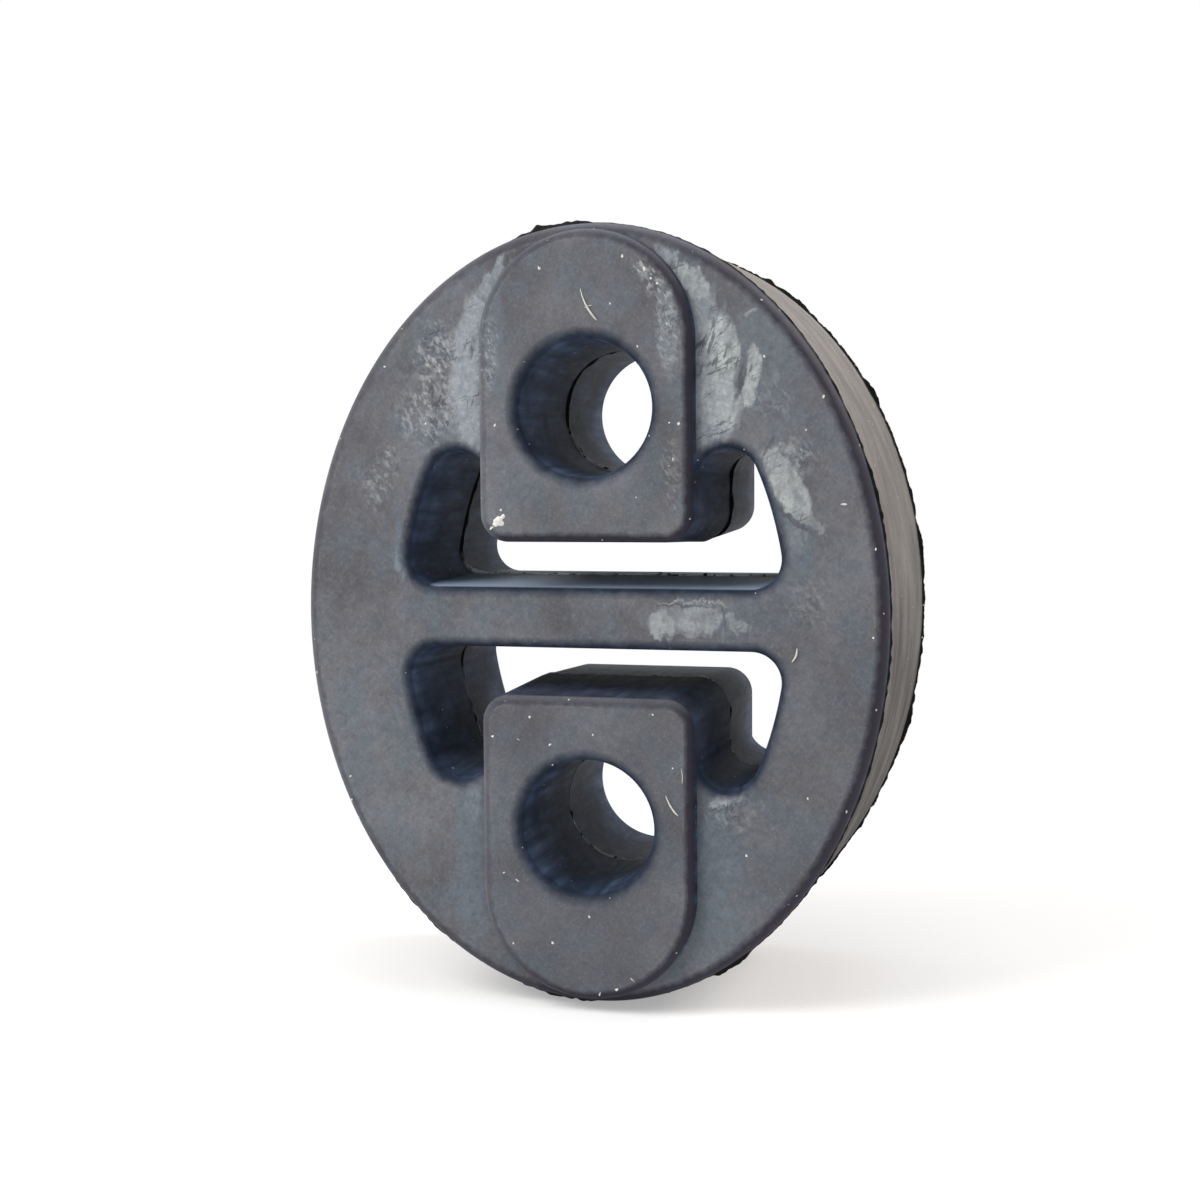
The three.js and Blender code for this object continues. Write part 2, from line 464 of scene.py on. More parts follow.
def addNode(tree, kind, inputs=None, output=0, **settings):
    # an input takes a number, a vector, a hex colour or another node's output
    node = tree.nodes.new("ShaderNode" + kind)
    for key, value in settings.items():
        setattr(node, key, value)
    for key, value in (inputs or {}).items():
        if isinstance(value, bpy.types.NodeSocket):
            tree.links.new(value, node.inputs[key])
        else:
            node.inputs[key].default_value = fromHex(value) if isinstance(value, str) else value
    return node.outputs[output] if len(node.outputs) else node


def newMaterial(name):
    # an empty material, and the place on the part in millimetres
    material = bpy.data.materials.new(name)
    material.use_nodes = True
    tree = material.node_tree
    tree.nodes.clear()
    place = addNode(tree, "TexCoord", output="Object")
    return material, tree, addNode(tree, "VectorMath", {0: place, "Scale": 1 / mm}, operation="SCALE")


def blotches(tree, place, size, soft, detail=3, turn=0):
    # noise with features about size mm across each way, as a mask from 0 to 1
    span = addNode(tree, "Mapping", {"Vector": place, "Scale": size, "Rotation": (0, math.radians(turn), 0)},
                   vector_type="TEXTURE")
    cloud = addNode(tree, "TexNoise", {"Vector": span, "Scale": 1, "Detail": detail})
    return addNode(tree, "MapRange", {"Value": cloud, "From Min": soft[0], "From Max": soft[1]})


def patternsOf(tree, place, patterns):
    return {name: blotches(tree, place, *values) for name, values in patterns.items()}


def squiggles(tree, place, size, width, distortion):
    # thin wandering lines, where a noise with features of size mm passes its middle value
    span = addNode(tree, "Mapping", {"Vector": place, "Scale": size}, vector_type="TEXTURE")
    cloud = addNode(tree, "TexNoise", {"Vector": span, "Scale": 1, "Detail": 3, "Distortion": distortion})
    gap = addNode(tree, "Math", {0: cloud, 1: 0.5}, operation="SUBTRACT")
    gap = addNode(tree, "Math", {0: gap}, operation="ABSOLUTE")
    return addNode(tree, "MapRange", {"Value": gap, "From Min": width, "From Max": 0})


def layCoats(tree, color, coats):
    # coats laid on in order: a colour, how much of it, and the masks that it shows through
    for coat, amount, *masks in coats:
        for mask in masks:
            amount = addNode(tree, "Math", {0: mask, 1: amount}, operation="MULTIPLY")
        color = addNode(tree, "Mix", {0: amount, 6: color, 7: coat}, 2, data_type="RGBA")
    return color


def addUp(tree, total, parts):
    # a number and weighted patterns, for roughness and heights
    for weight, pattern in parts:
        total = addNode(tree, "Math", {0: pattern, 1: weight, 2: total}, operation="MULTIPLY_ADD")
    return total


def dustSpecks(tree, inMm, specks):
    # specks of several sizes, crowded in some places and missing in others
    shaken = addNode(tree, "TexNoise", {"Vector": inMm, "Scale": 1 / specks["shakeSize"],
                                        "Detail": 2}, "Color")
    shaken = addNode(tree, "VectorMath", {0: shaken, 1: [specks["shake"]] * 3, 2: inMm},
                     operation="MULTIPLY_ADD")
    cells = addNode(tree, "TexVoronoi", {"Vector": shaken, "Scale": 1 / specks["spacing"]}).node
    chance = addNode(tree, "SeparateColor", {0: cells.outputs["Color"]}).node
    fewest, most, share = specks["crowd"]
    crowd = addNode(tree, "TexNoise", {"Vector": inMm, "Scale": 1 / specks["crowdSize"], "Detail": 2})
    crowd = addNode(tree, "MapRange", {"Value": crowd, "From Min": fewest, "From Max": most, "To Max": share})
    kept = addNode(tree, "Math", {0: chance.outputs[0], 1: crowd}, operation="LESS_THAN")
    small, large = specks["radius"]
    radius = addNode(tree, "Math", {0: chance.outputs[1], 1: specks["rarity"]}, operation="POWER")
    radius = addNode(tree, "MapRange", {"Value": radius, "To Min": small, "To Max": large})
    inside = addNode(tree, "Math", {0: radius, 1: cells.outputs["Distance"]}, operation="SUBTRACT")
    inside = addNode(tree, "MapRange", {"Value": inside, "From Max": specks["border"],
                                        "To Max": specks["strength"]})
    return addNode(tree, "Math", {0: inside, 1: kept}, operation="MULTIPLY")


# Pale dust that clings to all the rubber
dust = {
    "color": "#c9c9c4",
    "spacing": 0.8,  # mm
    "radius": (0.03, 0.17),  # shares of the spacing
    "rarity": 3,  # the higher, the fewer large ones
    "border": 0.04,
    "strength": 0.85,
    "shake": 0.35,  # mm that a speck is pulled out of round
    "shakeSize": 1 / 3,
    "crowdSize": 7,
    "crowd": (0.35, 0.65, 0.85),  # noise where there are none, noise where they crowd, and their share there
}


# Compression-moulded rubber, filled with carbon black. Its wax has bloomed to a dull blue-grey on the flat
# faces, with paler scuffs where it was rubbed and short brush strokes through them. The walls of the slots
# and bores keep the dark, smoother skin that the mould gave them.
# Shade is painted into the rounded mouths of slots and bores and onto the outer edges, and light onto the top
# of the web and the lips of the witness line.
faceRubber = {
    "dark": "#565559",
    "light": "#737479",
    "cool": "#5d6a72",
    "grainDark": "#43444a",
    "grainPale": "#85878b",
    "scratch": "#8f9295",
    "strokeDark": "#3b3e44",
    "strokePale": "#b4b8b6",
    "ior": 1.52,
    "specular": 0.12,
    "roughness": 0.72,
    # a pattern: its features' size in x, y and z (mm), the noise where it starts and is full, detail, turn
    "patterns": {
        "tone": ((9, 9, 9), (0.35, 0.65), 4),
        "cool": ((3, 3, 4), (0.45, 0.68), 4, 20),
        "grain": ((0.26, 0.26, 0.26), (0.25, 0.75), 2),
        "pits": ((0.8, 0.8, 0.8), (0.3, 0.7), 3, 30),
        "scratches": ((0.14, 1, 2.4), (0.58, 0.72), 3, 38),
        "scuffs": ((2.1, 1, 0.16), (0.6, 0.74), 3, 12),
        "flakes": ((0.9, 1, 2.3), (0.38, 0.62), 3, 14),
        # short strokes that cross each other, drawn a little coarser than the real ones, to show
        "steepStrokes": ((0.26, 1, 1.5), (0.55, 0.61), 3, 16),
        "levelStrokes": ((1.2, 1, 0.22), (0.56, 0.62), 3, -24),
        "clumps": ((2.8, 2.8, 2.8), (0.46, 0.6), 2),
    },
    # laid this much further along (mm), so that they don't follow the ones above
    "shift": (7, 3, 5),
    "shiftedPatterns": {
        "paleStrokes": ((0.32, 1, 0.75), (0.52, 0.66), 3, -30),
        "smudges": ((1.1, 1, 0.6), (0.48, 0.66), 4, 20),
        "paleGrain": ((0.3, 0.3, 0.3), (0.5, 0.8), 2),
    },
    "fold": ((1.2, 1, 1.5), 0.014, 1.2),  # size, width and distortion
    "cloudSize": (0.8, 1, 2.2),  # of what pulls the marks' borders about
    "cloudTurn": 12,
    "pull": (1.4, 0, 3),
    "markDepth": 0.7,
    "darkZone": (0.45, 0.05, 0.8),  # how rubbed the face is for the most strokes, then their least and most
    "paleZone": (0.6, 0.03, 0.4),
}
wallRubber = {
    "dark": "#1a283c",
    "light": "#5c6e8c",
    "mouth": "#24272f",  # painted shade on the rounded mouths of slots and bores
    "paintedWebLight": "#8593a6",  # painted light on the top of the web
    # painted shade on the outer rounded edges and the bosses' outer walls
    "edge": "#2e2a33",
    # a thin painted highlight where the outer edges begin to turn, broken up like wear
    "edgeHighlightAndWear": "#8a898c",
    "torn": "#08090b",
    # painted highlight on the witness line's lip where it faces up
    "lip": "#8b949c",
    "glint": "#f4f6f7",
    "roughness": 0.57,
    # how far the surface turns, from face (0) to wall (1), where the face's colour starts to fade and ends
    "mouthFade": (0.04, 0.8),
    "edgeFade": (0.1, 0.62),
    "turns": {"onEdge": (0.998, 0.9), "rising": (0.02, 0.1), "falling": (0.26, 0.14)},
    # an axis of the normal, and where on it each way of facing starts and is full
    "facing": {
        "upward": ("Z", 0.3, 0.95),
        "above": ("Z", 0.05, 0.3),
        "level": ("Z", 0.93, 0.999),
        "leftward": ("X", -0.1, -0.8),
    },
    "patterns": {
        "drag": ((1.1, 12, 1.1), (0.3, 0.72)),  # long in y, the way that the mould's cores drew
        "stain": ((3.5, 5, 3.5), (0.3, 0.7)),
        "fray": ((0.8, 0.8, 0.8), (0.35, 0.65)),
        "worn": ((2, 2, 2), (0.48, 0.66)),
        "lips": ((1.6, 1.6, 1.6), (0.5, 0.75)),
        "glints": ((0.7, 0.3, 0.7), (0.34, 0.46), 4),
    },
}
# Bloom, scuffs, smears and some painted shade on the front: face, x, z, half width, half height (mm), tilt
# (degrees), strength.
# The back has the same ones turned half round. border is the soft share of each one's border, ragged is how
# far it is pulled about (mm), and flakes is how far it is worn through.
faceMarks = {
    "coolFilm": {
        "color": "#646f79",
        "border": 0.6,
        "ragged": 1.0,
        "flakes": 0.2,
        "places": [
            ("ring", 12.3, -21.5, 2.4, 6.0, 0, 0.9),
            ("ring", 11.8, -28.5, 2.2, 4.5, 8, 0.8),
            ("ring", 17.0, -17.2, 2.2, 1.2, 20, 0.6),
            ("ring", 9.0, -33.2, 0.9, 3.0, 38, 0.6),
            ("ring", -12.2, -21.0, 1.5, 5.5, 0, 1.0),
            ("ring", -12.2, -28.0, 1.8, 3.8, -10, 0.8),
            ("ring", 17.2, 23.8, 3.4, 4.6, -30, 0.5),
            ("ring", 20.4, 7.5, 1.3, 3.4, -6, 0.9),
            ("ring", -19.3, 7.0, 0.6, 3.8, -5, 0.8),
            ("boss", -8.8, 27.0, 1.3, 5.0, 0, 0.6),
        ],
    },
    "paleFilm": {
        "color": "#9aa3aa",
        "border": 0.35,
        "ragged": 1.4,
        "flakes": 0.25,
        "places": [
            ("ring", -11.0, 21.3, 2.9, 5.2, 0, 0.95),
            ("ring", -11.2, 27.3, 1.9, 4.2, 14, 0.9),
            ("ring", -9.3, 32.3, 0.9, 3.2, 44, 0.75),
            ("ring", 9.2, 32.2, 1.1, 3.3, -40, 0.85),
            ("ring", 11.6, 27.0, 1.8, 4.6, -8, 0.75),
            ("ring", 12.0, 20.3, 2.2, 4.6, 0, 0.85),
            ("ring", 9.6, 0.0, 4.2, 1.5, 0, 0.35),
            ("ring", 20.2, 8.2, 0.8, 1.8, -6, 0.3),
            ("ring", 13.2, -17.0, 1.2, 0.4, -20, 0.9),
            ("ring", -12.0, -18.0, 0.9, 2.0, 0, 0.25),
            ("ring", -19.0, 4.6, 0.4, 1.8, -22, 0.3),
            ("boss", 8.3, 27.0, 0.8, 4.2, -3, 0.3),
        ],
    },
    "rubbedBloom": {
        "color": "#c3c9c8",
        "border": 0.24,
        "ragged": 1.1,
        "flakes": 0.55,
        "places": [
            ("ring", 13.2, 25.6, 1.6, 2.9, -16, 0.75),
            ("ring", 10.1, 31.7, 1.2, 2.5, -42, 0.6),
            ("ring", 15.8, 22.6, 0.9, 2.6, 10, 0.7),
            ("ring", 13.0, 20.2, 1.9, 2.5, -10, 0.5),
            ("ring", 15.9, 28.8, 0.8, 0.3, -20, 0.35),
            ("ring", 19.3, 12.4, 1.4, 3.4, -26, 0.7),
            ("ring", 18.3, 15.3, 1.6, 1.1, 0, 0.5),
            ("ring", 21.6, 9.2, 1.2, 0.5, 30, 0.5),
            ("ring", 7.0, -0.5, 1.4, 1.2, 0, 0.45),
            ("ring", 10.9, 0.1, 2.4, 1.3, 0, 0.3),
            ("ring", 14.7, -0.3, 1.5, 0.7, 35, 0.38),
            ("ring", 10.2, 1.75, 3.4, 0.2, 0, 0.5),
            ("ring", 13.6, -16.6, 1.9, 0.6, -20, 0.55),
        ],
    },
    "scribbles": {
        "color": "#a3a6a8",
        "border": 0.7,
        "ragged": 0.8,
        "flakes": 0.2,
        "places": [
            ("ring", -15.2, 24.6, 2.2, 3.6, 10, 0.8),
            ("ring", -16.0, 20.0, 2.9, 3.0, 0, 0.7),
            ("ring", -21.1, 13.8, 1.5, 3.0, 25, 0.5),
            ("ring", 19.6, 15.0, 2.2, 1.6, 0, 0.45),
            ("ring", 17.6, 20.6, 1.8, 2.0, 0, 0.25),
            ("ring", 21.0, 1.6, 2.0, 2.4, 0, 0.25),
            ("boss", 6.9, 31.7, 1.0, 2.3, -44, 1.0),
            ("boss", 8.3, 27.0, 1.0, 3.8, -4, 0.75),
            ("boss", -9.2, 25.5, 0.8, 3.4, 0, 0.6),
            ("boss", 8.6, 13.5, 0.9, 3.2, 0, 0.35),
            ("ring", 14.0, -18.2, 2.6, 1.6, -15, 0.45),
        ],
    },
    "smearsAndShade": {
        "color": "#4a4c52",
        "border": 0.5,
        "ragged": 0.5,
        "flakes": 0.1,
        "places": [
            ("ring", 14.9, 22.6, 0.3, 2.2, 16, 0.8),
            ("ring", 19.9, 9.3, 0.26, 2.0, -54, 0.85),
            ("ring", 11.0, 25.9, 0.14, 1.1, 38, 0.9),
            ("ring", -17.8, 24.1, 1.7, 0.5, 8, 0.5),
            ("ring", -18.2, 21.4, 0.5, 1.8, -20, 0.4),
            ("ring", 9.6, 1.35, 2.6, 0.12, 3, 0.7),
            ("ring", 13.2, 0.2, 0.14, 1.1, -6, 0.6),
            ("ring", 9.4, -1.5, 2.4, 0.12, 4, 0.5),
            ("ring", 17.4, 16.2, 0.2, 1.2, 30, 0.6),
            ("ring", 14.3, -18.9, 0.5, 1.3, 40, 0.45),
            # these four, large and faint, are painted shade: they darken the lower boss, the low end of the
            # upper boss and the right of the ring
            ("boss", 0.5, -22, 10, 15, 0, 0.42),
            ("boss", 2, 11, 8, 3.4, 0, 0.22),
            ("ring", 20.5, -13, 7, 15, 0, 0.32),
            ("ring", 24, 5, 4, 11, 0, 0.16),
        ],
    },
}


def markedPlaces(tree, cloud, flakes, facePlace, face, marks):
    # the strongest of a set of ovals, their borders pulled about by a cloud and their middles worn to flakes
    pull = Vector(face["pull"]) * marks["ragged"]
    bent = addNode(tree, "VectorMath", {0: cloud, 1: pull, 2: facePlace}, operation="MULTIPLY_ADD")
    outer, inner = 1 + marks["border"] / 2, 1 - marks["border"] / 2
    total = 0.0
    for name, x, z, halfX, halfZ, tilt, strength in marks["places"]:
        oval = addNode(tree, "Mapping", {"Vector": bent, "Location": (x, faceDepth(name), z),
                                         "Rotation": (0, math.radians(tilt), 0),
                                         "Scale": (halfX, face["markDepth"], halfZ)}, vector_type="TEXTURE")
        away = addNode(tree, "VectorMath", {0: oval}, "Value", operation="LENGTH")
        inside = addNode(tree, "MapRange", {"Value": away, "From Min": outer, "From Max": inner,
                                            "To Max": strength})
        total = addNode(tree, "Math", {0: inside, 1: total}, operation="MAXIMUM")
    left = addNode(tree, "MapRange", {"Value": flakes, "To Min": 1, "To Max": 1 - marks["flakes"]})
    return addNode(tree, "Math", {0: total, 1: left}, operation="MULTIPLY")


def bloomedFace(tree, inMm, face, marks):
    # the colour of the flat faces, and the patterns that roughness and bump take up
    axes = addNode(tree, "SeparateXYZ", {0: inMm}).node
    half = addNode(tree, "MapRange", {"Value": axes.outputs["Y"], "From Min": 1, "From Max": -1,
                                      "To Min": -1})
    facePlace = addNode(tree, "VectorMath", {0: inMm, "Scale": half}, operation="SCALE")
    shifted = addNode(tree, "VectorMath", {0: inMm, 1: face["shift"]}, operation="ADD")
    pattern = patternsOf(tree, inMm, face["patterns"]) | patternsOf(tree, shifted, face["shiftedPatterns"])
    drawn = addNode(tree, "Mapping", {"Vector": inMm, "Scale": face["cloudSize"],
                                      "Rotation": (0, math.radians(face["cloudTurn"]), 0)},
                    vector_type="TEXTURE")
    cloud = addNode(tree, "TexNoise", {"Vector": drawn, "Scale": 1, "Detail": 3}, "Color")
    cloud = addNode(tree, "VectorMath", {0: cloud, 1: (0.5, 0.5, 0.5)}, operation="SUBTRACT")
    masks = {}
    for name, group in marks.items():
        masks[name] = markedPlaces(tree, cloud, pattern["flakes"], facePlace, face, group)

    # strokes come in clumps, and thickest where the bloom was rubbed
    strokes = addNode(tree, "Math", {0: pattern["steepStrokes"], 1: pattern["levelStrokes"]},
                      operation="MAXIMUM")
    pattern["strokes"] = addNode(tree, "Math", {0: strokes, 1: pattern["clumps"]}, operation="MULTIPLY")
    rubbed = 0
    for name in ("paleFilm", "rubbedBloom", "scribbles"):
        rubbed = addNode(tree, "Math", {0: masks[name], 1: rubbed}, operation="MAXIMUM")
    zones = []
    for full, least, most in (face["darkZone"], face["paleZone"]):
        zones.append(addNode(tree, "MapRange", {"Value": rubbed, "From Max": full, "To Min": least,
                                                "To Max": most}))
    darkZone, paleZone = zones

    base = addNode(tree, "Mix", {0: pattern["tone"], 6: face["dark"], 7: face["light"]}, 2, data_type="RGBA")
    color = layCoats(tree, base, [
        (face["cool"], 0.65, pattern["cool"]),
        (marks["coolFilm"]["color"], 1, masks["coolFilm"]),
        (marks["paleFilm"]["color"], 1, masks["paleFilm"]),
        (marks["rubbedBloom"]["color"], 1, masks["rubbedBloom"]),
        (face["strokeDark"], 0.9, pattern["strokes"], darkZone),
        (face["strokeDark"], 0.3, squiggles(tree, inMm, *face["fold"]), darkZone),
        (face["strokePale"], 0.5, pattern["paleStrokes"], paleZone),
        (marks["scribbles"]["color"], 1, masks["scribbles"], pattern["paleStrokes"]),
        (marks["scribbles"]["color"], 0.8, masks["scribbles"], pattern["smudges"]),
        (marks["smearsAndShade"]["color"], 1, masks["smearsAndShade"]),
        (face["grainDark"], 0.34, pattern["grain"]),
        (face["grainDark"], 0.2, pattern["pits"]),
        (face["scratch"], 0.09, pattern["scratches"]),
        (face["grainDark"], 0.14, pattern["scuffs"]),
        (face["grainPale"], 0.22, pattern["paleGrain"]),
    ])
    return color, pattern


def bloomedRubber(face, wall, marks):
    material, tree, inMm = newMaterial("bloomedMouldedRubber")
    faceColor, onFlat = bloomedFace(tree, inMm, face, marks)
    pattern = patternsOf(tree, inMm, wall["patterns"])

    # how far the surface turns away from the face, and which way it looks
    normal = addNode(tree, "SeparateXYZ", {0: addNode(tree, "NewGeometry", output="Normal")}).node
    facing = {}
    for name, (axis, start, full) in wall["facing"].items():
        facing[name] = addNode(tree, "MapRange", {"Value": normal.outputs[axis], "From Min": start,
                                                  "From Max": full})
    # the upper and left sides of the outer edges, which keep the face's colour as painted light
    litSide = addNode(tree, "Math", {0: facing["upward"], 1: facing["leftward"]}, operation="MAXIMUM")
    sideways = addNode(tree, "CombineXYZ", {"X": normal.outputs["X"], "Z": normal.outputs["Z"]})
    turned = addNode(tree, "VectorMath", {0: sideways}, "Value", operation="LENGTH")
    turns = {}
    for name, (start, full) in wall["turns"].items():
        turns[name] = addNode(tree, "MapRange", {"Value": turned, "From Min": start, "From Max": full})
    mark = {}
    for name in ("outerEdge", "web", "torn", "lip"):
        mark[name] = addNode(tree, "Attribute", output="Fac", attribute_name=name)
    outer = mark["outerEdge"]
    inner = addNode(tree, "Math", {0: 1, 1: outer}, operation="SUBTRACT")
    fades = []
    for atMouth, atEdge in zip(wall["mouthFade"], wall["edgeFade"]):
        fades.append(addNode(tree, "MapRange", {"Value": outer, "To Min": atMouth, "To Max": atEdge}))
    frayed = addUp(tree, turned, [(0.16, pattern["fray"])])
    onFace = addNode(tree, "MapRange", {"Value": frayed, "From Min": fades[1], "From Max": fades[0]})

    # dark walls with long drag marks, painted light on the top of the web, painted shade on their rounded
    # mouths and on the outer edges, whose upper and left sides keep the face's colour as painted light, a
    # thin paler line worn through in places where they begin to turn, a painted highlight, and torn rubber,
    # whose lip gets a pale painted highlight and a white painted glint where it faces up
    shade = addNode(tree, "Math", {0: pattern["drag"], 1: pattern["stain"]}, operation="MULTIPLY")
    wallColor = addNode(tree, "Mix", {0: shade, 6: wall["dark"], 7: wall["light"]}, 2, data_type="RGBA")
    color = layCoats(tree, wallColor, [
        (wall["paintedWebLight"], 1, facing["level"], inner, mark["web"]),
        (wall["edge"], 0.5, outer),
        (wall["mouth"], 0.7, turns["onEdge"], inner),
        (wall["edge"], 0.9, turns["onEdge"], outer),
        (faceColor, 0.95, turns["onEdge"], outer, litSide),
        (faceColor, 1, onFace),
        (wall["edgeHighlightAndWear"], 0.15, turns["rising"], turns["falling"], outer, pattern["worn"]),
        (wall["torn"], 1, mark["torn"]),
        (wall["lip"], 0.55, mark["lip"], facing["above"], pattern["lips"]),
        (wall["glint"], 1, mark["lip"], facing["above"], inner, pattern["glints"]),
        (dust["color"], 1, dustSpecks(tree, inMm, dust)),
    ])

    rough = addNode(tree, "MapRange", {"Value": onFace, "To Min": wall["roughness"],
                                       "To Max": face["roughness"]})
    rough = addUp(tree, rough, [(0.08, onFlat["pits"])])
    height = addUp(tree, 0, [
        (0.35, onFlat["grain"]),
        (0.8, onFlat["pits"]),
        (-0.45, onFlat["strokes"]),
        (-0.3, onFlat["scratches"]),
        (0.12, pattern["drag"]),
    ])
    relief = addNode(tree, "MapRange", {"Value": onFace, "To Min": 0.3, "To Max": 0.65})
    bump = addNode(tree, "Bump", {"Height": height, "Strength": relief, "Distance": 0.03 * mm})
    shader = addNode(tree, "BsdfPrincipled", {"Base Color": color, "Roughness": rough, "Normal": bump,
                                              "IOR": face["ior"], "Specular IOR Level": face["specular"]})
    addNode(tree, "OutputMaterial", {"Surface": shader})
    return material


# The same rubber on the rim, where the mould's ring plate left a dry, dragged skin: it looks warm grey and
# chalky, with fine streaks that follow the rim round and a dark ragged border beside the flash.
# Light from above is painted in: the band is paler towards its top.
rimRubber = {
    "dryAndLit": "#a09c99",
    "shade": "#312f2e",
    "stain": "#3f3b3a",
    "torn": "#17151a",
    "dust": "#d8d6d0",
    "litTowardsTop": (-8, 35),  # mm up, between which painted light from above takes it from the shade colour to the dry colour
    "border": (11.1, 11.35),  # mm from the middle, where the dark border begins and is full
    "roughness": (0.72, 0.88),
    "ior": 1.52,
    "specular": 0.12,
    "patterns": {
        "streaks": ((12, 0.3, 12), (0.25, 0.75), 4),  # long round the rim, narrow across it
        "broad": ((9, 4, 9), (0.3, 0.7), 4),
        "grain": ((0.3, 0.3, 0.3), (0.2, 0.8), 2),
        "stain": ((3, 1.2, 3), (0.55, 0.75), 5),
        "fray": ((0.9, 0.9, 0.9), (0.35, 0.65), 5),
    },
}


def draggedRubber(look):
    material, tree, inMm = newMaterial("draggedRimRubber")
    pattern = patternsOf(tree, inMm, look["patterns"])
    axes = addNode(tree, "SeparateXYZ", {0: inMm}).node
    # painted light: paler towards the top, as light from above falls on it
    low, high = look["litTowardsTop"]
    height = addNode(tree, "MapRange", {"Value": axes.outputs["Z"], "From Min": low, "From Max": high})
    share = addUp(tree, -0.1, [(0.3, pattern["streaks"]), (0.3, pattern["broad"]), (0.6, height)])
    base = addNode(tree, "Mix", {0: share, 6: look["shade"], 7: look["dryAndLit"]}, 2, data_type="RGBA")

    depth = addNode(tree, "Math", {0: axes.outputs["Y"]}, operation="ABSOLUTE")
    depth = addUp(tree, depth, [(0.5, pattern["fray"])])
    begins, full = look["border"]
    border = addNode(tree, "MapRange", {"Value": depth, "From Min": begins, "From Max": full})
    color = layCoats(tree, base, [
        (look["shade"], 0.3, pattern["grain"]),
        (look["stain"], 0.4, pattern["stain"]),
        (look["torn"], 0.95, border),
        (look["torn"], 1, addNode(tree, "Attribute", output="Fac", attribute_name="torn")),
        (look["dust"], 0.7, dustSpecks(tree, inMm, dust)),
    ])
    smooth, chalky = look["roughness"]
    rough = addNode(tree, "MapRange", {"Value": pattern["streaks"], "To Min": smooth, "To Max": chalky})
    height = addUp(tree, pattern["streaks"], [(0.4, pattern["grain"])])
    bump = addNode(tree, "Bump", {"Height": height, "Strength": 0.35, "Distance": 0.012 * mm})
    shader = addNode(tree, "BsdfPrincipled", {"Base Color": color, "Roughness": rough, "Normal": bump,
                                              "IOR": look["ior"], "Specular IOR Level": look["specular"]})
    addNode(tree, "OutputMaterial", {"Surface": shader})
    return material


body.data.materials.append(bloomedRubber(faceRubber, wallRubber, faceMarks))
body.data.materials.append(draggedRubber(rimRubber))
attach(body, "root")
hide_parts("rubber_body")
print("rubber finished")


